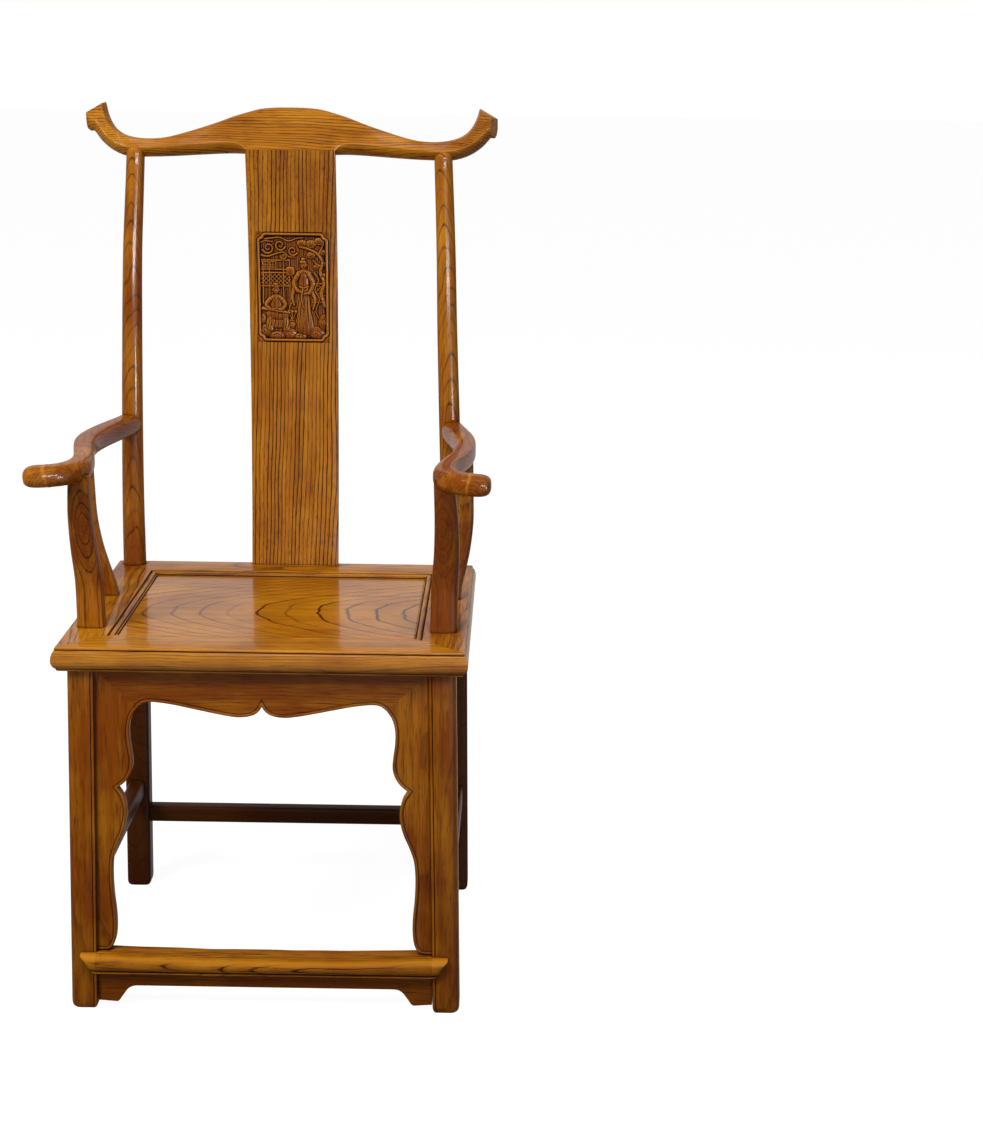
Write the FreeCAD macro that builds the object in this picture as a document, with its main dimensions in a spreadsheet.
import FreeCAD, Part
import Sketcher
import os
import re

# Official hat chair: a yoke-back armchair of lacquered elm.
# The front faces -Y, +X is to the right as seen from the front, and +Z is up.
# The origin lies on the floor, under the middle of the chair's overall depth and width.

doc = FreeCAD.newDocument("official_hat_chair")
sheet = doc.addObject("Spreadsheet::Sheet", "Sizes")

DRIVING_SIZES = [
    ("seat_height", 500, "floor to the top of the seat frame"),
    ("seat_width", 528, "over the edge moulding"),
    ("seat_depth", 467, "over the edge moulding"),
    ("seat_setback", 3, "seat edge behind the front of the footrest"),
    ("rail_width", 61, "flat top of a seat rail"),
    ("rail_thickness", 33, "top to underside of a seat rail"),
    ("strip_width", 11, "moulded strip along the inner edge of the rails"),
    ("strip_drop", 3.5, "strip below the top of the rail"),
    ("bead_height", 5, "thin bead at the top and the bottom of the edge moulding"),
    ("bead_setback", 5.5, "how far the beads stand behind the thumb"),
    ("bead_swell", 2.2, "how far a bead swells"),
    ("quirk_depth", 2, "groove beside a bead"),
    ("panel_thickness", 12, "floating seat panel"),
    ("panel_drop", 5, "panel below the top of the rails"),
    ("tongue_thickness", 6, "tongue round the panel"),
    ("tongue_length", 8, "tongue in the rail's groove"),
    ("batten_width", 24, "batten under the panel"),
    ("batten_height", 18, "batten under the panel"),
    ("batten_offset", 70, "batten from the middle of the seat"),
    ("leg_width", 35.5, "square leg"),
    ("leg_rounding", 6, "rounded edges of a leg"),
    ("leg_inset_side", 32.5, "front leg axis from the side of the seat"),
    ("leg_inset_front", 34.75, "front leg axis from the front of the seat"),
    ("leg_splay", 8, "front foot outward and forward of the seat end"),
    ("leg_tenon_width", 16, "square tenon at the top of a front leg"),
    ("leg_tenon_length", 20, "square tenon at the top of a front leg"),
    ("post_inset_side", 29.5, "rear post axis from the side of the seat"),
    ("post_inset_rear", 23, "rear post axis from the rear of the seat"),
    ("rear_leg_splay", 5.5, "rear foot outward of the seat end"),
    ("post_diameter", 33, "rear post where it leaves the seat"),
    ("post_top_diameter", 25.5, "rear post under the crest rail"),
    ("post_lean", 18.5, "top of a rear post inward of its foot at the seat"),
    ("post_bow", 12, "forward bow of a rear post"),
    ("post_socket", 5, "rear post let into the crest rail"),
    ("crest_height", 1087, "floor to the underside of the crest rail at the posts"),
    ("crest_rise", 71, "underside of the crest rail to the peak of its horns"),
    ("crest_half_length", 289, "middle of the crest rail to the tip of a horn"),
    ("crest_advance", 15, "foremost face of the crest rail forward of a post's axis at the seat"),
    ("crest_sweep", 52, "crest rail front at the posts to horn back"),
    ("splat_width", 126, "back splat"),
    ("splat_thickness", 11, "back splat"),
    ("splat_base_inset", 16, "splat from the rear of the seat"),
    ("splat_bow", 24, "rearward bow of the splat"),
    ("splat_top_shift", 9, "top of the splat forward of its base"),
    ("splat_tongue", 8, "splat let into the rear rail and the crest rail"),
    ("relief_width", 104, "carved panel of the splat"),
    ("relief_height", 159, "carved panel of the splat"),
    ("relief_middle_height", 905, "floor to the middle of the carved panel"),
    ("relief_depth", 3.4, "sunk ground of the carved panel"),
    ("relief_notch", 9, "stepped corner of the carved panel"),
    ("arm_height", 711, "floor to the arm's axis at the rear post"),
    ("arm_rise", 7, "arm axis from the rear post to the front end"),
    ("arm_width", 27, "arm across"),
    ("arm_thickness", 28, "arm from top to underside"),
    ("arm_rounding", 9, "rounded edges of an arm"),
    ("arm_tip_inset", 22, "middle of an arm's front end behind the front of the footrest"),
    ("arm_flare", 64, "front end of an arm outward of the rear post axis"),
    ("neck_inset_side", 32.5, "gooseneck axis from the side of the seat"),
    ("neck_inset_front", 109, "gooseneck axis from the front of the seat, at the seat"),
    ("neck_width", 34, "gooseneck across, at the seat"),
    ("neck_depth", 31, "gooseneck from front to back, at the seat"),
    ("neck_top_width", 25, "gooseneck across, under the arm"),
    ("neck_reach", 46, "top of a gooseneck forward of its base"),
    ("neck_bow", 3.5, "outward bow of a gooseneck"),
    ("neck_rounding", 7, "rounded edges of a gooseneck"),
    ("neck_cope", 4, "gooseneck scribed round the underside of the arm"),
    ("neck_tenon_width", 12, "gooseneck tenons"),
    ("neck_tenon_length", 14, "gooseneck tenons"),
    ("side_post_inset", 27, "side post axis from the side of the seat, at the seat"),
    ("side_post_back", 35, "side post axis behind the middle of the seat depth, at the seat"),
    ("side_post_bow", 21, "outward bow of a side post"),
    ("side_post_advance", 22, "top of a side post forward of its base"),
    ("side_post_diameter", 20, "side post at the seat"),
    ("side_post_top_diameter", 12, "side post under the arm"),
    ("side_post_tenon", 9, "side post let into the rail and the arm"),
    ("apron_thickness", 12, "apron boards"),
    ("apron_setback", 7, "apron face behind the leg face"),
    ("head_depth", 62, "front apron head at the lobes, from the seat frame"),
    ("apron_depth", 32, "side and rear apron boards"),
    ("apron_bracket", 26, "bracket ends of the aprons below the board"),
    ("footrest_top", 81, "floor to the top of the footrest"),
    ("footrest_thickness", 28, "footrest board"),
    ("footrest_width", 37, "footrest board from front to back"),
    ("footrest_lap", 21.6, "footrest's upper edge over the front of a leg"),
    ("footrest_lap_under", 5.4, "footrest's lower edge over the front of a leg"),
    ("footrest_apron_depth", 22, "apron board under the footrest"),
    ("footrest_bracket", 20, "bracket ends of the footrest's apron"),
    ("footrest_apron_thickness", 10, "apron board under the footrest"),
    ("side_stretcher_height", 157, "floor to the axis of the side stretchers"),
    ("rear_stretcher_height", 114, "floor to the axis of the rear stretcher"),
    ("stretcher_width", 22, "stretchers across"),
    ("stretcher_depth", 25, "stretchers from top to underside"),
    ("stretcher_rounding", 4, "rounded edges of the stretchers"),
    ("tenon_thickness", 9, "stretcher, footrest and batten tenons"),
    ("tenon_width", 15, "stretcher, footrest and batten tenons"),
    ("tenon_length", 13, "stretcher, footrest, batten and arm tenons"),
    ("tenon_root", 10, "how far a tenon runs back into its own piece"),
    ("fit_gap", 0.2, "clearance all round a tenon in its mortise"),
    ("shoulder_gap", 0.25, "clearance at a shoulder or a scribed end"),
    ("cut_overrun", 20, "how far a cutting tool runs past the wood"),
]

# Stations along a rear post above the seat: height, inward lean and forward bow.
POST_SHARES = [
    (0, 0, 0), (0.2, 0.06, 0.42), (0.41, 0.24, 0.82), (0.6, 0.42, 1), (0.78, 0.61, 0.88),
    (0.9, 0.82, 0.62), (1, 1, 0.4),
]

# Stations along an arm: run from the rear post to the tip, outward place, width and height.
ARM_SHARES = [
    (0, 0, 1, 1), (0.08, 0.08, 1, 1), (0.2, 0.235, 1, 1), (0.3, 0.345, 1, 1), (0.42, 0.415, 1, 1),
    (0.54, 0.375, 1, 1), (0.67, 0.22, 1, 1), (0.78, 0.08, 1, 1), (0.865, 0.045, 1, 1),
    (0.925, 0.155, 1.02, 1), (0.962, 0.36, 1.08, 1.02), (0.984, 0.62, 1.12, 1.06),
    (1, 0.9, 1.06, 1.04), (1.002, 0.98, 0.72, 0.74),
]

# Stations along a gooseneck: height, forward reach, outward bow, width and depth.
NECK_SHARES = [
    (0, 0, 0, 0, 0), (0.3, 0.05, 0.25, 0.12, 0.1), (0.52, 0.3, 1, 0.3, 0.25),
    (0.74, 0.68, 1, 0.6, 0.55), (1, 1, 0.15, 1, 1),
]

# Stations along a side post: height and outward bow.
SIDE_POST_SHARES = [(0, 0), (0.16, 0.3), (0.29, 0.65), (0.44, 0.9), (0.62, 1), (0.82, 1), (1, 0.98)]

# Right half of the crest rail seen from the front: length share and rise share.
CREST_TOP_SHARES = [
    (0, 0.985), (0.14, 0.965), (0.22, 0.9), (0.3, 0.79), (0.375, 0.655), (0.46, 0.535),
    (0.545, 0.435), (0.62, 0.375), (0.69, 0.36), (0.76, 0.385), (0.815, 0.45), (0.855, 0.56),
    (0.882, 0.7), (0.899, 0.85), (0.909, 1),
]
CREST_END_SHARES = [(1, 0.81), (1, 0.475), (0.97, 0.44)]
CREST_UNDER_SHARES = [
    (0.97, 0.44), (0.935, 0.28), (0.875, 0.125), (0.81, 0.03), (0.74, 0), (0.6, 0.005),
    (0.45, 0.035), (0.3, 0.07), (0.18, 0.06), (0, 0.06),
]

# Right half of the crest rail seen from above: length share and sweep share.
CREST_FRONT_SHARES = [(0, 0.22), (0.3, 0.18), (0.55, 0.06), (0.75, 0.01), (0.88, 0.22), (1, 0.52)]
CREST_BACK_SHARES = [(1, 1), (0.88, 0.73), (0.75, 0.53), (0.55, 0.58), (0.3, 0.74), (0, 0.8)]

# Right half of the front opening: the head's lower edge, then the side piece's inner edge.
# Widths are shares of the opening between the legs, heights of the head's depth or of the opening.
HEAD_SHARES = [
    (0, 0.78), (0.03, 0.84), (0.075, 0.96), (0.125, 1), (0.24, 0.975), (0.38, 0.93), (0.52, 0.84),
    (0.66, 0.71), (0.72, 0.74),
]
JAMB_SHARES = [
    (0.81, 0.796), (0.808, 0.74), (0.786, 0.68), (0.8, 0.632), (0.862, 0.585), (0.832, 0.52),
    (0.834, 0.46), (0.868, 0.4), (0.895, 0.33), (0.9, 0.22), (0.882, 0.12), (0.894, 0.04), (0.93, 0),
]
# Half of a plain apron's lower edge: width share and bracket share.
APRON_SHARES = [(0.62, 0), (0.74, 0.05), (0.83, 0.3), (0.88, 0.42), (0.93, 0.7), (0.96, 1)]

SIDES = (("left", -1), ("right", 1))


def bound(text):
    """Give every named size in an expression the sheet's name."""
    return re.sub(r"\b[a-z]+(?:_[a-z]+)+\b", r"Sizes.\g<0>", str(text))


def amount(text):
    """Value of an expression of named sizes."""
    return float(sheet.evalExpression(bound(text)))


def bind(thing, path, text):
    thing.setExpression(path, bound(text))


def fill_sheet():
    for row, (alias, value, note) in enumerate(DRIVING_SIZES, start=1):
        sheet.set(f"A{row}", note)
        sheet.set(f"B{row}", str(value))
        sheet.setAlias(f"B{row}", alias)
    doc.recompute()


fill_sheet()

# Places worked out from the driving sizes, as expressions.
OVERALL_DEPTH = "(seat_setback + seat_depth - post_inset_rear - crest_advance + crest_sweep)"
FRONT = f"(-{OVERALL_DEPTH} / 2)"
SEAT_FRONT = f"({FRONT} + seat_setback)"
SEAT_REAR = f"({SEAT_FRONT} + seat_depth)"
SEAT_MIDDLE = f"({SEAT_FRONT} + seat_depth / 2)"
SEAT_UNDER = "(seat_height - rail_thickness)"
LEG_X = "(seat_width / 2 - leg_inset_side)"
LEG_Y = f"({SEAT_FRONT} + leg_inset_front)"
POST_X = "(seat_width / 2 - post_inset_side)"
POST_Y = f"({SEAT_REAR} - post_inset_rear)"
PANEL_TOP = "(seat_height - panel_drop)"
PANEL_UNDER = f"({PANEL_TOP} - panel_thickness)"
FRAME_INNER = "(rail_width + strip_width)"
FOOTREST_UNDER = "(footrest_top - footrest_thickness)"
POST_LENGTH = f"(crest_height + post_socket - {SEAT_UNDER})"
ARM_LEVEL = f"((arm_height - {SEAT_UNDER}) / {POST_LENGTH})"


def point(x, y, z):
    return FreeCAD.Vector(x, y, z)


def splay_at(height):
    """Share of the leg's splay that is reached at a height, from 0 at the seat to 1 at the floor."""
    return f"(1 - ({height}) / {SEAT_UNDER})"


def front_leg_x(height):
    return f"({LEG_X} + leg_splay * {splay_at(height)})"


def front_leg_y(height):
    return f"({LEG_Y} - leg_splay * {splay_at(height)})"


def rear_leg_x(height):
    return f"({POST_X} + rear_leg_splay * {splay_at(height)})"


def new_body(name):
    body = doc.addObject("PartDesign::Body", name)
    body.Label = name
    return body


def sketch_on(body, name, role, lift="0"):
    """Sketch on one of the body's own planes, lifted along the plane's normal."""
    sketch = body.newObject("Sketcher::SketchObject", name)
    planes = [feature for feature in body.Origin.OriginFeatures if feature.Role == role]
    sketch.AttachmentSupport = (planes[0], [""])
    sketch.MapMode = "FlatFace"
    bind(sketch, "AttachmentOffset.Base.z", lift)
    return sketch


def rectangle(sketch, left, right, low, high):
    """Rectangle whose four sides are bound to expressions."""
    values = [amount(text) for text in (left, right, low, high)]
    x0, x1, y0, y1 = values
    corners = [point(x0, y0, 0), point(x1, y0, 0), point(x1, y1, 0), point(x0, y1, 0)]
    for number in range(4):
        sketch.addGeometry(Part.LineSegment(corners[number], corners[(number + 1) % 4]), False)
    for number in range(4):
        sketch.addConstraint(Sketcher.Constraint("Coincident", number, 2, (number + 1) % 4, 1))
    for kind, edge in (("Horizontal", 0), ("Vertical", 1), ("Horizontal", 2), ("Vertical", 3)):
        sketch.addConstraint(Sketcher.Constraint(kind, edge))
    spans = (("DistanceX", 0, x0, left), ("DistanceX", 2, x1, right))
    heights = (("DistanceY", 0, y0, low), ("DistanceY", 2, y1, high))
    for kind, edge, value, text in spans + heights:
        number = sketch.addConstraint(Sketcher.Constraint(kind, -1, 1, edge, 1, value))
        bind(sketch, f"Constraints[{number}]", text)


def edge_through(points):
    """Line through two points, arc through three, smooth curve through more."""
    if len(points) == 2:
        return Part.LineSegment(*points)
    if len(points) == 3:
        return Part.Arc(*points)
    curve = Part.BSplineCurve()
    curve.interpolate(points)
    return curve


def trace(sketch, runs):
    """Closed outline of runs; each run's last point is the next run's first."""
    for run in runs:
        sketch.addGeometry(edge_through([point(x, y, 0) for x, y in run]), False)


def rounded_square(sketch, x, y):
    """Section of a square leg with its edges rounded, about a centre."""
    half = amount("leg_width") / 2
    flat = half - amount("leg_rounding")
    bend = half - amount("leg_rounding") * (1 - 0.5 ** 0.5)
    runs = []
    for sx, sy in ((1, -1), (1, 1), (-1, 1), (-1, -1)):
        arc = [(sx * half, sy * flat), (sx * bend, sy * bend), (sx * flat, sy * half)]
        runs.append(arc if sx * sy > 0 else arc[::-1])
    outline = []
    for number, run in enumerate(runs):
        outline += [run, [run[-1], runs[(number + 1) % 4][0]]]
    trace(sketch, [[(x + u, y + v) for u, v in run] for run in outline])


def pad(body, name, sketch, length, reversed_pad=False):
    feature = body.newObject("PartDesign::Pad", name)
    feature.Profile = sketch
    bind(feature, "Length", length)
    feature.Reversed = reversed_pad
    return feature


def pocket_through(body, name, sketch):
    feature = body.newObject("PartDesign::Pocket", name)
    feature.Profile = sketch
    bind(feature, "Length", "rail_thickness + 2 * cut_overrun")
    feature.Reversed = True
    return feature


def soften(body, name, axis, radius):
    """Round the body's edges that run along an axis."""
    doc.recompute()
    base = body.Tip
    longest = max(edge.Length for edge in body.Shape.Edges)
    chosen = []
    for number, edge in enumerate(body.Shape.Edges, start=1):
        direction = edge.Vertexes[-1].Point.sub(edge.Vertexes[0].Point)
        if direction.Length > 0 and edge.Length > longest / 2:
            if abs(direction.normalize().dot(axis)) > 0.999:
                chosen.append(f"Edge{number}")
    feature = body.newObject("PartDesign::Fillet", name)
    feature.Base = (base, chosen)
    bind(feature, "Radius", radius)


def board(name, x_range, y_range, z_range):
    """Rectangular board from its bounds, padded upward."""
    body = new_body(name)
    sketch = sketch_on(body, f"{name}_plan", "XY_Plane", z_range[0])
    rectangle(sketch, *x_range, *y_range)
    pad(body, f"{name}_pad", sketch, f"({z_range[1]}) - ({z_range[0]})")
    return body


def feature_of(name, shape):
    feature = doc.addObject("Part::Feature", name)
    feature.Shape = shape
    return feature


def ring(centre, across, along, width, height, rounding):
    """Rounded rectangle round a centre, in the plane of two unit directions."""
    half_w = width / 2
    half_h = height / 2
    radius = min(rounding, half_w * 0.98, half_h * 0.98)
    corner = radius * (1 - 0.5 ** 0.5)
    places = []
    for sx, sy in ((1, 1), (-1, 1), (-1, -1), (1, -1)):
        start = (sx * half_w, sy * (half_h - radius))
        middle = (sx * (half_w - corner), sy * (half_h - corner))
        end = (sx * (half_w - radius), sy * half_h)
        places.append((start, middle, end) if sx * sy > 0 else (end, middle, start))
    spots = [[centre + across * u + along * v for u, v in arc] for arc in places]
    edges = []
    for number in range(4):
        edges.append(Part.Arc(*spots[number]).toShape())
        edges.append(Part.LineSegment(spots[number][2], spots[(number + 1) % 4][0]).toShape())
    return Part.Wire(edges)


def disc(centre, diameter):
    return Part.Wire([Part.Circle(centre, point(0, 0, 1), diameter / 2).toShape()])


def post_place(height_share):
    """Lean share and bow share of a rear post at a share of its height above the leg."""
    for (h0, lean0, bow0), (h1, lean1, bow1) in zip(POST_SHARES, POST_SHARES[1:]):
        if height_share <= h1:
            part_way = (height_share - h0) / (h1 - h0)
            return lean0 + (lean1 - lean0) * part_way, bow0 + (bow1 - bow0) * part_way
    return POST_SHARES[-1][1:]


def post_axis(height_share, side):
    """Point of a rear post's axis above the seat frame's underside."""
    lean, bow = post_place(height_share)
    x = amount(f"{POST_X} - {lean} * post_lean")
    y = amount(f"{POST_Y} - {bow} * post_bow")
    z = amount(f"{SEAT_UNDER} + {height_share} * {POST_LENGTH}")
    return point(side * x, y, z)


def rear_post_shape(side, grow=0):
    """Square leg and round post in one piece."""
    rounding = amount("leg_rounding")
    width = amount("leg_width") + 2 * grow
    rings = []
    for height in ("0", f"{SEAT_UNDER} - shoulder_gap"):
        centre = point(side * amount(rear_leg_x(height)), amount(POST_Y), amount(height))
        rings.append(ring(centre, point(1, 0, 0), point(0, 1, 0), width, width, rounding))
    leg = Part.makeLoft(rings, True, True)
    discs = []
    for share, _, _ in POST_SHARES:
        narrowing = amount("post_diameter - post_top_diameter") * share
        discs.append(disc(post_axis(share, side), amount("post_diameter") - narrowing + 2 * grow))
    post = Part.makeLoft(discs, True, False)
    neck = Part.makeCylinder(
        amount("post_diameter") / 2 + grow, amount("shoulder_gap"),
        post_axis(0, side) - point(0, 0, amount("shoulder_gap")))
    return leg.fuse([neck, post]).removeSplitter()


def arm_centre(stations, side):
    """Centre line of an arm through its stations."""
    start = post_axis(amount(ARM_LEVEL), 1)
    run = start.y - amount(f"{FRONT} + arm_tip_inset")
    line = []
    for along, out, _, _ in stations:
        height = amount("arm_height") + along * amount("arm_rise")
        line.append(point(side * (start.x + out * amount("arm_flare")), start.y - along * run, height))
    return line


def arm_shape(side, grow=0):
    """S-curved arm with its front end turned outward."""
    line = arm_centre(ARM_SHARES, side)
    curve = Part.BSplineCurve()
    curve.interpolate(line)
    rings = []
    for centre, (_, _, wide, tall) in zip(line, ARM_SHARES):
        tangent = curve.tangent(curve.parameter(centre))[0]
        tangent.z = 0
        tangent.normalize()
        across = tangent.cross(point(0, 0, 1))
        width = wide * amount("arm_width") + 2 * grow
        height = tall * amount("arm_thickness") + 2 * grow
        rings.append(ring(centre, across, point(0, 0, 1), width, height, amount("arm_rounding") * wide))
    return Part.makeLoft(rings, True, False)


def neck_shape(side):
    """Gooseneck from the seat up into the curve of the arm."""
    base_x = amount("seat_width / 2 - neck_inset_side")
    base_y = amount(f"{SEAT_FRONT} + neck_inset_front")
    low = amount("seat_height + shoulder_gap")
    high = amount("arm_height + arm_rise - arm_thickness / 2 + neck_cope")
    rings = []
    for share, reach, bow, slim_width, slim_depth in NECK_SHARES:
        centre = point(
            side * (base_x + bow * amount("neck_bow")), base_y - reach * amount("neck_reach"),
            low + share * (high - low))
        width = amount("neck_width") - slim_width * amount("neck_width - neck_top_width")
        depth = amount("neck_depth") - slim_depth * amount("neck_width - neck_top_width")
        rings.append(ring(
            centre, point(1, 0, 0), point(0, 1, 0), width, depth, amount("neck_rounding")))
    return Part.makeLoft(rings, True, False)


def side_post_shape(side, grow=0):
    """Sickle-shaped side post, round and thinning upward."""
    low = amount("seat_height - side_post_tenon")
    high = amount("arm_height - arm_thickness / 2 + side_post_tenon")
    base_x = amount("seat_width / 2 - side_post_inset")
    base_y = amount(f"{SEAT_MIDDLE} + side_post_back")
    discs = []
    for share, bow in SIDE_POST_SHARES:
        centre = point(
            side * (base_x + bow * amount("side_post_bow")), base_y - share * amount("side_post_advance"),
            low + share * (high - low))
        thinning = share * amount("side_post_diameter - side_post_top_diameter")
        discs.append(disc(centre, amount("side_post_diameter") - thinning + 2 * grow))
    return Part.makeLoft(discs, True, False)


def crest_blank():
    """Crest rail sawn to its front outline and to its plan."""
    half = amount("crest_half_length")
    low = amount("crest_height")
    rise = amount("crest_rise")
    sweep = amount("crest_sweep")
    front = amount(f"{POST_Y} - crest_advance")

    def elevation(shares, side):
        return [point(side * u * half, front - rise, low + v * rise) for u, v in shares]

    def plan(shares, side):
        return [point(side * u * half, front + v * sweep, low - rise) for u, v in shares]

    def mirrored(right, left):
        """Full curve from the left end over the middle to the right end."""
        return left[::-1] + right[1:]

    peak = CREST_TOP_SHARES[-1]
    top = mirrored(elevation(CREST_TOP_SHARES, 1), elevation(CREST_TOP_SHARES, -1))
    under_right = elevation(CREST_UNDER_SHARES, 1)
    under_left = elevation(CREST_UNDER_SHARES, -1)
    under = under_right + under_left[::-1][1:]
    right_end = elevation([peak] + CREST_END_SHARES, 1)
    left_end = elevation([peak] + CREST_END_SHARES, -1)
    edges = [edge_through(top).toShape()]
    edges += [Part.LineSegment(a, b).toShape() for a, b in zip(right_end, right_end[1:])]
    edges.append(edge_through(under).toShape())
    edges += [Part.LineSegment(a, b).toShape() for a, b in zip(left_end, left_end[1:])][::-1]
    outline = Part.Face(Part.Wire(Part.__sortEdges__(edges)))
    depth = point(0, 2 * rise + sweep, 0)
    front_curve = mirrored(plan(CREST_FRONT_SHARES, 1), plan(CREST_FRONT_SHARES, -1))
    back_right = plan(CREST_BACK_SHARES, 1)
    back_left = plan(CREST_BACK_SHARES, -1)
    back_curve = back_right + back_left[::-1][1:]
    plan_edges = [
        edge_through(front_curve).toShape(),
        Part.LineSegment(front_curve[-1], back_curve[0]).toShape(),
        edge_through(back_curve).toShape(),
        Part.LineSegment(back_curve[-1], front_curve[0]).toShape(),
    ]
    plan_face = Part.Face(Part.Wire(plan_edges))
    return outline.extrude(depth).common(plan_face.extrude(point(0, 0, 3 * rise)))


def splat_band(near, far, half_width, low, high):
    """Band between two offsets of the splat's curved middle surface."""
    y_base = amount(f"{SEAT_REAR} - splat_base_inset")
    middle = (low + high) / 2
    bow = amount("splat_bow")
    shift = amount("splat_top_shift")

    def arc(offset):
        return [
            point(-half_width, y_base + offset, low),
            point(-half_width, y_base + bow - shift / 2 + offset, middle),
            point(-half_width, y_base - shift + offset, high),
        ]

    front = arc(near)
    back = arc(far)
    edges = [
        Part.Arc(*front).toShape(),
        Part.LineSegment(front[2], back[2]).toShape(),
        Part.Arc(*back[::-1]).toShape(),
        Part.LineSegment(back[0], front[0]).toShape(),
    ]
    return Part.Face(Part.Wire(edges)).extrude(point(2 * half_width, 0, 0))


def splat_shape(grow=0):
    """Back splat curved to the sitter's back, let in at both ends."""
    half_thickness = amount("splat_thickness") / 2 + grow
    low = amount("seat_height - splat_tongue")
    high = amount("crest_height + splat_tongue") + amount("crest_rise") * CREST_UNDER_SHARES[-1][1]
    return splat_band(-half_thickness, half_thickness, amount("splat_width") / 2 + grow, low, high)


def relief_recess():
    """Sunk ground of the carved panel, with stepped corners."""
    half_width = amount("relief_width") / 2
    half_height = amount("relief_height") / 2
    notch = amount("relief_notch")
    middle = amount("relief_middle_height")
    corners = []
    for sx, sz in ((1, 1), (-1, 1), (-1, -1), (1, -1)):
        outer = (sx * half_width, middle + sz * (half_height - notch))
        inner = (sx * (half_width - notch), middle + sz * (half_height - notch))
        upper = (sx * (half_width - notch), middle + sz * half_height)
        corners += [outer, inner, upper] if sx * sz > 0 else [upper, inner, outer]
    wall = [point(x, 0, z) for x, z in corners]
    prism = Part.Face(Part.makePolygon(wall + wall[:1])).extrude(point(0, amount(OVERALL_DEPTH), 0))
    low = amount("seat_height - splat_tongue")
    high = amount("crest_height + splat_tongue") + amount("crest_rise") * CREST_UNDER_SHARES[-1][1]
    half_thickness = amount("splat_thickness") / 2
    layer = splat_band(
        -half_thickness - amount("cut_overrun"), amount("relief_depth") - half_thickness,
        amount("splat_width"), low, high)
    return prism.common(layer)


TENONS = {}
MORTISES = {}


def block(name, centre, extent, grow="0"):
    """Box round a centre, all of it bound to the sheet."""
    box = doc.addObject("Part::Box", name)
    for side, length in zip(("Length", "Width", "Height"), extent):
        bind(box, side, f"{length} + 2 * {grow}")
    for axis, middle, length in zip("xyz", centre, extent):
        bind(box, f"Placement.Base.{axis}", f"{middle} - ({length}) / 2 - {grow}")
    return box


def tenon(piece, receivers, label, centre, extent):
    """Tenon on one piece, and its mortise with clearance in each receiver."""
    TENONS.setdefault(piece, []).append(block(f"{label}_tenon", centre, extent))
    for receiver in receivers:
        cavity = block(f"{label}_{receiver}_mortise", centre, extent, "fit_gap")
        MORTISES.setdefault(receiver, []).append(cavity)


def scribe(piece, label, shape):
    """Shape that is taken out of a piece where another piece meets it."""
    MORTISES.setdefault(piece, []).append(feature_of(f"{label}_{piece}_scribe", shape))


BLANKS = {}
NODES = {}


def finish_pieces():
    """Add tenons and cut mortises, then name each finished piece."""
    for name, blank in BLANKS.items():
        blank.Label = f"{name} blank"
        finished = blank
        if name in MORTISES:
            cut = doc.addObject("Part::Cut", f"{name}_cut")
            tools = MORTISES[name]
            tool = tools[0]
            if len(tools) > 1:
                tool = doc.addObject("Part::MultiFuse", f"{name}_cavities")
                tool.Shapes = tools
            cut.Base = finished
            cut.Tool = tool
            finished = cut
        if name in TENONS:
            fused = doc.addObject("Part::MultiFuse", f"{name}_with_tenons")
            fused.Shapes = [finished] + TENONS[name]
            finished = fused
        finished.Label = name
        NODES[name] = finished


def rail_profile(sketch, reach):
    """Section of a seat rail: outer edge moulding, panel groove and sunk inner strip."""
    edge = -amount(reach)
    top = amount("seat_height")
    under = amount(SEAT_UNDER)
    bead = amount("bead_height")
    back = edge + amount("bead_setback")
    swell = amount("bead_swell")
    quirk = back + amount("quirk_depth")
    flat_end = edge + amount("rail_width")
    inner = edge + amount(FRAME_INNER)
    strip = top - amount("strip_drop")
    groove = inner - amount("tongue_length + fit_gap")
    tongue_low = amount(f"{PANEL_UNDER} - fit_gap")
    tongue_high = amount(f"{PANEL_UNDER} + tongue_thickness + fit_gap")
    thumb_top = top - bead - amount("quirk_depth")
    thumb_low = under + bead
    thumb_middle = (thumb_top + thumb_low) / 2
    trace(sketch, [
        [(inner, under), (inner, tongue_low)],
        [(inner, tongue_low), (groove, tongue_low)],
        [(groove, tongue_low), (groove, tongue_high)],
        [(groove, tongue_high), (inner, tongue_high)],
        [(inner, tongue_high), (inner, strip)],
        [(inner, strip), (flat_end, strip)],
        [(flat_end, strip), (flat_end, top)],
        [(flat_end, top), (back, top)],
        [(back, top), (back - swell, top - bead / 2), (back, top - bead)],
        [(back, top - bead), (quirk, top - bead)],
        [(quirk, top - bead), (back, thumb_top)],
        [(back, thumb_top), (edge, thumb_middle), (back, thumb_low)],
        [(back, thumb_low), (back - swell, thumb_low - bead / 2), (back, under)],
        [(back, under), (inner, under)],
    ])


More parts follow.
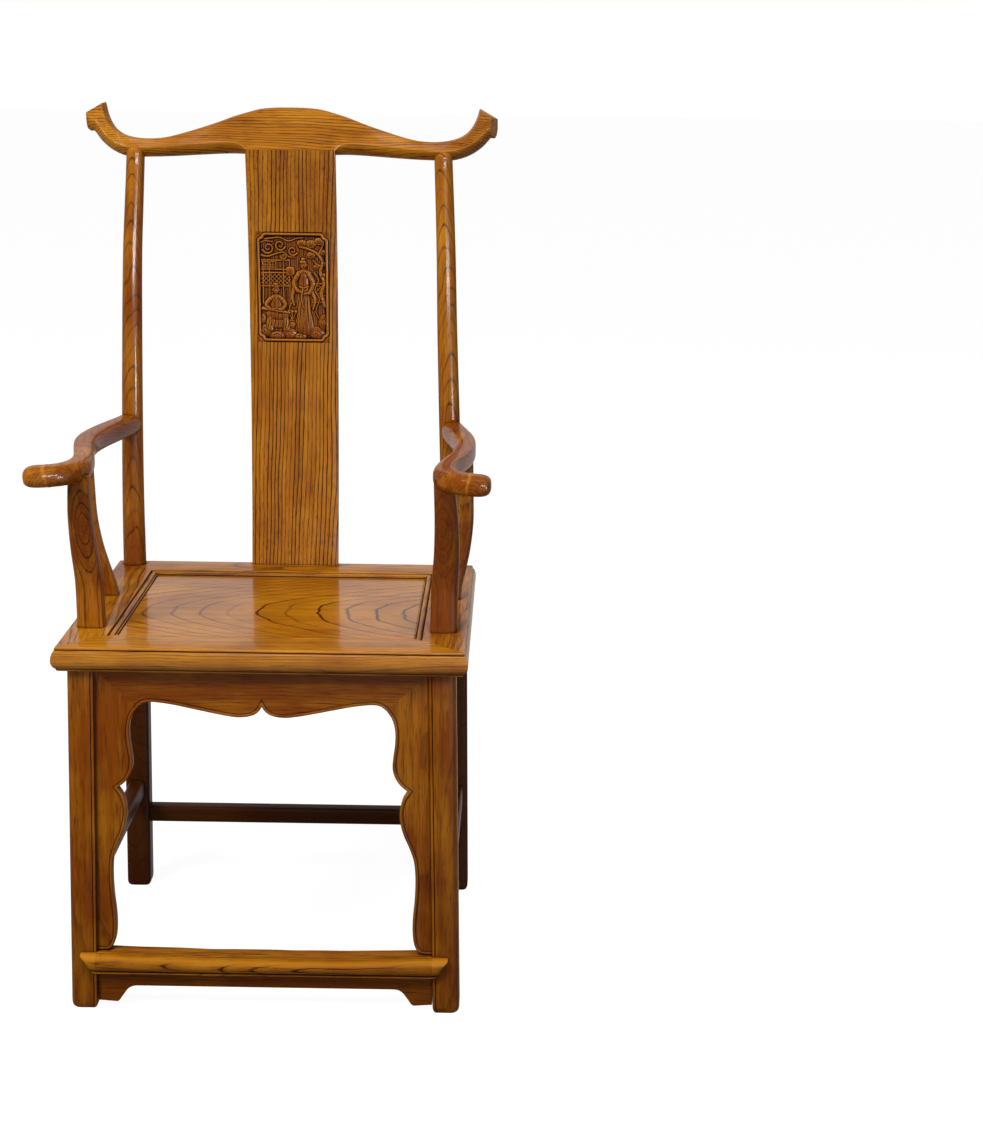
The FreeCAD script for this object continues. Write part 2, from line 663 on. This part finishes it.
def seat_rail(name, turn, reach, length):
    """Moulded rail, mitred at both ends and turned to its side of the seat."""
    body = new_body(name)
    profile = sketch_on(body, f"{name}_profile", "YZ_Plane", f"-({length}) / 2")
    rail_profile(profile, reach)
    pad(body, f"{name}_pad", profile, length)
    half = amount(length) / 2 - amount("fit_gap") / 2
    edge = -amount(reach)
    depth = amount("rail_width + strip_width + cut_overrun")
    over = amount("cut_overrun")
    for number, side in enumerate((-1, 1)):
        mitre = sketch_on(body, f"{name}_mitre_{number}", "XY_Plane", f"{SEAT_UNDER} - cut_overrun")
        outer = side * (half + over)
        trace(mitre, [
            [(side * (half + over), edge - over), (side * (half - depth), edge + depth)],
            [(side * (half - depth), edge + depth), (outer, edge + depth)],
            [(outer, edge + depth), (side * (half + over), edge - over)],
        ])
        pocket_through(body, f"{name}_mitre_cut_{number}", mitre)
    body.Placement = FreeCAD.Placement(
        point(0, amount(SEAT_MIDDLE), 0), FreeCAD.Rotation(point(0, 0, 1), turn))
    bind(body, "Placement.Base.y", SEAT_MIDDLE)
    BLANKS[name] = body


def build_seat():
    seat_rail("seat_front_rail", 0, "seat_depth / 2", "seat_width")
    seat_rail("seat_right_rail", 90, "seat_width / 2", "seat_depth")
    seat_rail("seat_rear_rail", 180, "seat_depth / 2", "seat_width")
    seat_rail("seat_left_rail", 270, "seat_width / 2", "seat_depth")
    half_x = f"(seat_width / 2 - {FRAME_INNER} - shoulder_gap)"
    half_y = f"(seat_depth / 2 - {FRAME_INNER} - shoulder_gap)"
    body = new_body("seat_panel")
    tongue = sketch_on(body, "seat_panel_tongue", "XY_Plane", PANEL_UNDER)
    wide_x = f"({half_x} + tongue_length)"
    wide_y = f"({half_y} + tongue_length)"
    rectangle(tongue, f"-{wide_x}", wide_x, f"{SEAT_MIDDLE} - {wide_y}", f"{SEAT_MIDDLE} + {wide_y}")
    pad(body, "seat_panel_tongue_pad", tongue, "tongue_thickness")
    field = sketch_on(body, "seat_panel_field", "XY_Plane", PANEL_UNDER)
    rectangle(field, f"-{half_x}", half_x, f"{SEAT_MIDDLE} - {half_y}", f"{SEAT_MIDDLE} + {half_y}")
    pad(body, "seat_panel_field_pad", field, "panel_thickness")
    BLANKS["seat_panel"] = body
    for word, side in SIDES:
        name = f"{word}_seat_batten"
        middle = f"({side} * batten_offset)"
        high = f"({PANEL_UNDER} - shoulder_gap)"
        low = f"({high} - batten_height)"
        BLANKS[name] = board(
            name, (f"{middle} - batten_width / 2", f"{middle} + batten_width / 2"),
            (f"{SEAT_MIDDLE} - {half_y}", f"{SEAT_MIDDLE} + {half_y}"), (low, high))
        for rail, end in (("seat_front_rail", -1), ("seat_rear_rail", 1)):
            place = f"{SEAT_MIDDLE} + {end} * ({half_y} + tenon_length / 2 - tenon_root / 2)"
            level = f"{high} - batten_height / 2 + tenon_thickness / 4"
            tenon(name, [rail], f"{name}_{rail}", (middle, place, level),
                  ("tenon_width", "tenon_length + tenon_root", "tenon_thickness"))


def build_legs():
    for word, side in SIDES:
        name = f"{word}_front_leg"
        body = new_body(name)
        sections = []
        for number, height in enumerate(("0", f"{SEAT_UNDER} - shoulder_gap")):
            sketch = sketch_on(body, f"{name}_section_{number}", "XY_Plane", height)
            rounded_square(sketch, side * amount(front_leg_x(height)), amount(front_leg_y(height)))
            sections.append(sketch)
        loft = body.newObject("PartDesign::AdditiveLoft", f"{name}_loft")
        loft.Profile = sections[0]
        loft.Sections = sections[1:]
        loft.Ruled = True
        BLANKS[name] = body
        tenon(name, ["seat_front_rail", f"seat_{word}_rail"], name,
              (f"{side} * {LEG_X}", LEG_Y, f"{SEAT_UNDER} + leg_tenon_length / 2 - tenon_root / 2"),
              ("leg_tenon_width", "leg_tenon_width", "leg_tenon_length + tenon_root"))


def build_back():
    gap = amount("fit_gap")
    crest = feature_of("crest_rail", crest_blank())
    BLANKS["crest_rail"] = crest
    BLANKS["back_splat"] = feature_of("back_splat", splat_shape().cut(relief_recess()))
    grown_splat = splat_shape(gap)
    scribe("crest_rail", "splat", grown_splat)
    scribe("seat_rear_rail", "splat", grown_splat)
    for word, side in SIDES:
        BLANKS[f"{word}_rear_post"] = feature_of(f"{word}_rear_post", rear_post_shape(side))
        grown = rear_post_shape(side, gap)
        scribe("crest_rail", f"{word}_post", grown)
        above_leg = Part.makeBox(
            amount("seat_width"), amount(OVERALL_DEPTH), amount("rail_thickness + cut_overrun"),
            point(-amount("seat_width") / 2, 0, amount(SEAT_UNDER)))
        shank = grown.common(above_leg)
        scribe("seat_rear_rail", f"{word}_post", shank)
        scribe(f"seat_{word}_rail", f"{word}_post", shank)


def build_arms():
    gap = amount("shoulder_gap")
    fit = amount("fit_gap")
    lean, bow = post_place(amount(ARM_LEVEL))
    joint_x = f"({POST_X} - {lean} * post_lean)"
    joint_y = f"({POST_Y} - {bow} * post_bow - post_diameter / 2)"
    for word, side in SIDES:
        arm = f"{word}_arm"
        BLANKS[arm] = feature_of(arm, arm_shape(side))
        scribe(arm, f"{word}_post", rear_post_shape(side, gap))
        tenon(arm, [f"{word}_rear_post"], arm,
              (f"{side} * {joint_x}", f"{joint_y} + tenon_length / 4", "arm_height"),
              ("tenon_thickness", "tenon_length + tenon_root / 2", "tenon_width"))
        neck = f"{word}_gooseneck"
        BLANKS[neck] = feature_of(neck, neck_shape(side).cut(arm_shape(side, gap)))
        neck_x = "(seat_width / 2 - neck_inset_side)"
        neck_y = f"({SEAT_FRONT} + neck_inset_front)"
        size = ("neck_tenon_width", "neck_tenon_width", "neck_tenon_length + tenon_root")
        tenon(neck, [f"seat_{word}_rail"], f"{neck}_foot",
              (f"{side} * {neck_x}", neck_y, "seat_height - neck_tenon_length / 2 + tenon_root / 2"), size)
        crown = "arm_height + arm_rise - arm_thickness / 2 + neck_tenon_length / 2 - tenon_root / 2"
        tenon(neck, [arm], f"{neck}_crown", (f"{side} * {neck_x}", f"{neck_y} - neck_reach", crown), size)
        post = f"{word}_side_post"
        BLANKS[post] = feature_of(post, side_post_shape(side))
        grown = side_post_shape(side, fit)
        scribe(arm, post, grown)
        scribe(f"seat_{word}_rail", post, grown)


def front_apron_points():
    """Right half of the front opening, as points in X and Z."""
    half = amount(f"{LEG_X} - leg_width / 2")
    top = amount(SEAT_UNDER)
    low = amount("footrest_top + shoulder_gap")
    head_depth = amount("head_depth")
    height = top - low
    head = [(u * half, top - v * head_depth) for u, v in HEAD_SHARES]
    jamb = [(u * half, low + v * height) for u, v in JAMB_SHARES]
    return head, jamb


def build_front_apron():
    head, jamb = front_apron_points()
    gap = amount("shoulder_gap")
    top = amount(SEAT_UNDER) - gap
    low = amount("footrest_top") + gap
    corner = head[-1]
    leg_top = amount(f"{front_leg_x(SEAT_UNDER)} - leg_width / 2") - gap
    leg_low = amount(f"{front_leg_x('footrest_top')} - leg_width / 2") - gap
    lift = f"-({LEG_Y} - leg_width / 2 + apron_setback)"
    slack = gap / 2
    body = new_body("front_apron_head")
    sketch = sketch_on(body, "front_apron_head_outline", "XZ_Plane", lift)
    under = [(-x, z) for x, z in head[::-1]]
    trace(sketch, [
        [(-leg_top, top), (leg_top, top)],
        [(leg_top, top), (corner[0] - slack, corner[1])],
        [(corner[0] - slack, corner[1])] + head[-2:0:-1] + [head[0]],
        [head[0]] + under[-2:0:-1] + [(slack - corner[0], corner[1])],
        [(slack - corner[0], corner[1]), (-leg_top, top)],
    ])
    pad(body, "front_apron_head_pad", sketch, "apron_thickness", True)
    BLANKS["front_apron_head"] = body
    for word, side in SIDES:
        name = f"front_apron_{word}"
        body = new_body(name)
        sketch = sketch_on(body, f"{name}_outline", "XZ_Plane", lift)
        mitre = (side * (corner[0] + slack), corner[1] - slack)
        inner = [mitre] + [(side * x, z) for x, z in jamb]
        trace(sketch, [
            [(side * leg_top, top - gap), mitre],
            inner,
            [inner[-1], (side * leg_low, low)],
            [(side * leg_low, low), (side * leg_top, top - gap)],
        ])
        pad(body, f"{name}_pad", sketch, "apron_thickness", True)
        BLANKS[name] = body


def apron_runs(half, top, low, bracket):
    """Plain apron with small bracket ends, as runs of a closed outline."""
    end = [(u * half, low - v * bracket) for u, v in APRON_SHARES]
    other = [(-x, z) for x, z in end[::-1]]
    return [
        [(-half, top), (half, top)],
        [(half, top), (half, low - bracket)],
        [(half, low - bracket), end[-1]],
        end[::-1],
        [end[0], other[-1]],
        other[::-1],
        [other[0], (-half, low - bracket)],
        [(-half, low - bracket), (-half, top)],
    ]


def build_plain_aprons():
    gap = amount("shoulder_gap")
    top = amount(SEAT_UNDER) - gap
    low = amount(f"{SEAT_UNDER} - apron_depth")
    bracket = amount("apron_bracket")
    body = new_body("rear_apron")
    rear_face = f"({POST_Y} + leg_width / 2 - apron_setback)"
    sketch = sketch_on(body, "rear_apron_outline", "XZ_Plane", f"-{rear_face}")
    trace(sketch, apron_runs(amount(f"{POST_X} - leg_width / 2") - gap, top, low, bracket))
    pad(body, "rear_apron_pad", sketch, "apron_thickness")
    BLANKS["rear_apron"] = body
    near = amount(f"{LEG_Y} + leg_width / 2") + gap
    far = amount(f"{POST_Y} - leg_width / 2") - gap
    middle = (near + far) / 2
    for word, side in SIDES:
        name = f"{word}_side_apron"
        body = new_body(name)
        face = f"({side} * ({LEG_X} + leg_width / 2 - apron_setback))"
        sketch = sketch_on(body, f"{name}_outline", "YZ_Plane", face)
        runs = apron_runs((far - near) / 2, top, low, bracket)
        trace(sketch, [[(x + middle, z) for x, z in run] for run in runs])
        pad(body, f"{name}_pad", sketch, "apron_thickness", side > 0)
        BLANKS[name] = body


def build_footrest():
    gap = "shoulder_gap"
    level = "(footrest_top - footrest_thickness / 2)"
    half = f"({front_leg_x('footrest_top')} - leg_width / 2 - {gap})"
    leg_face = f"({front_leg_y('0')} - leg_width / 2 - {gap})"
    body = board("footrest", (f"-{half}", half), (FRONT, f"{FRONT} + footrest_width"),
                 (FOOTREST_UNDER, "footrest_top"))
    lip = sketch_on(body, "footrest_lip", "XZ_Plane", f"-({FRONT})")
    top = amount("footrest_top")
    under = amount(FOOTREST_UNDER)
    inner_edge = f"({front_leg_x('footrest_top')} - leg_width / 2)"
    half_top = amount(f"{inner_edge} + footrest_lap")
    half_under = amount(f"{inner_edge} + footrest_lap_under")
    trace(lip, [
        [(-half_top, top), (half_top, top)],
        [(half_top, top), (half_under, under)],
        [(half_under, under), (-half_under, under)],
        [(-half_under, under), (-half_top, top)],
    ])
    pad(body, "footrest_lip_pad", lip, f"{leg_face} - {FRONT}", True)
    BLANKS["footrest"] = body
    for word, side in SIDES:
        tenon("footrest", [f"{word}_front_leg"], f"footrest_{word}",
              (f"{side} * ({half} + tenon_length / 2 - tenon_root / 2)", front_leg_y(level), level),
              ("tenon_length + tenon_root", "tenon_thickness", "tenon_width"))
    body = new_body("footrest_apron")
    face = f"({front_leg_y('0')} - leg_width / 2 + apron_setback)"
    sketch = sketch_on(body, "footrest_apron_outline", "XZ_Plane", f"-{face}")
    half_apron = amount(f"{front_leg_x(FOOTREST_UNDER)} - leg_width / 2 - shoulder_gap")
    apron_low = under - amount("footrest_apron_depth")
    trace(sketch, apron_runs(half_apron, under - amount(gap), apron_low, amount("footrest_bracket")))
    pad(body, "footrest_apron_pad", sketch, "footrest_apron_thickness", True)
    BLANKS["footrest_apron"] = body


def build_stretchers():
    level = "rear_stretcher_height"
    half = f"({rear_leg_x(f'{level} + stretcher_depth / 2')} - leg_width / 2 - shoulder_gap)"
    body = board("rear_stretcher", (f"-{half}", half),
                 (f"{POST_Y} - stretcher_width / 2", f"{POST_Y} + stretcher_width / 2"),
                 (f"{level} - stretcher_depth / 2", f"{level} + stretcher_depth / 2"))
    soften(body, "rear_stretcher_rounding", point(1, 0, 0), "stretcher_rounding")
    BLANKS["rear_stretcher"] = body
    for word, side in SIDES:
        tenon("rear_stretcher", [f"{word}_rear_post"], f"rear_stretcher_{word}",
              (f"{side} * ({half} + tenon_length / 2 - tenon_root / 2)", POST_Y, level),
              ("tenon_length + tenon_root", "tenon_thickness", "tenon_width"))
    level = "side_stretcher_height"
    for word, side in SIDES:
        name = f"{word}_side_stretcher"
        x = f"({side} * ({front_leg_x(level)} + {rear_leg_x(level)}) / 2)"
        near = f"({front_leg_y(f'{level} + stretcher_depth / 2')} + leg_width / 2 + shoulder_gap)"
        far = f"({POST_Y} - leg_width / 2 - shoulder_gap)"
        body = board(name, (f"{x} - stretcher_width / 2", f"{x} + stretcher_width / 2"), (near, far),
                     (f"{level} - stretcher_depth / 2", f"{level} + stretcher_depth / 2"))
        soften(body, f"{name}_rounding", point(0, 1, 0), "stretcher_rounding")
        BLANKS[name] = body
        ends = ((f"{word}_front_leg", f"{near} - tenon_length / 2 + tenon_root / 2"),
                (f"{word}_rear_post", f"{far} + tenon_length / 2 - tenon_root / 2"))
        for leg, y in ends:
            tenon(name, [leg], f"{name}_{leg}", (x, y, level),
                  ("tenon_thickness", "tenon_length + tenon_root", "tenon_width"))


def check_and_export():
    doc.recompute()
    for thing in doc.Objects:
        if "Invalid" in thing.State or "Error" in thing.State:
            raise RuntimeError(f"{thing.Label} did not build: {thing.State}")
    for name, piece in NODES.items():
        if piece.Shape.isNull() or not piece.Shape.isValid():
            raise RuntimeError(f"{name} has no valid shape")
        if len(piece.Shape.Solids) != 1:
            raise RuntimeError(f"{name} has {len(piece.Shape.Solids)} solids")
    os.makedirs("parts", exist_ok=True)
    for name, piece in NODES.items():
        piece.Shape.exportStep(os.path.join("parts", f"{name}.step"))
        print(f"{name} {piece.Shape.Volume / 1000:.1f} cm3")


build_seat()
build_legs()
build_back()
build_arms()
build_front_apron()
build_plain_aprons()
build_footrest()
build_stretchers()
finish_pieces()
check_and_export()
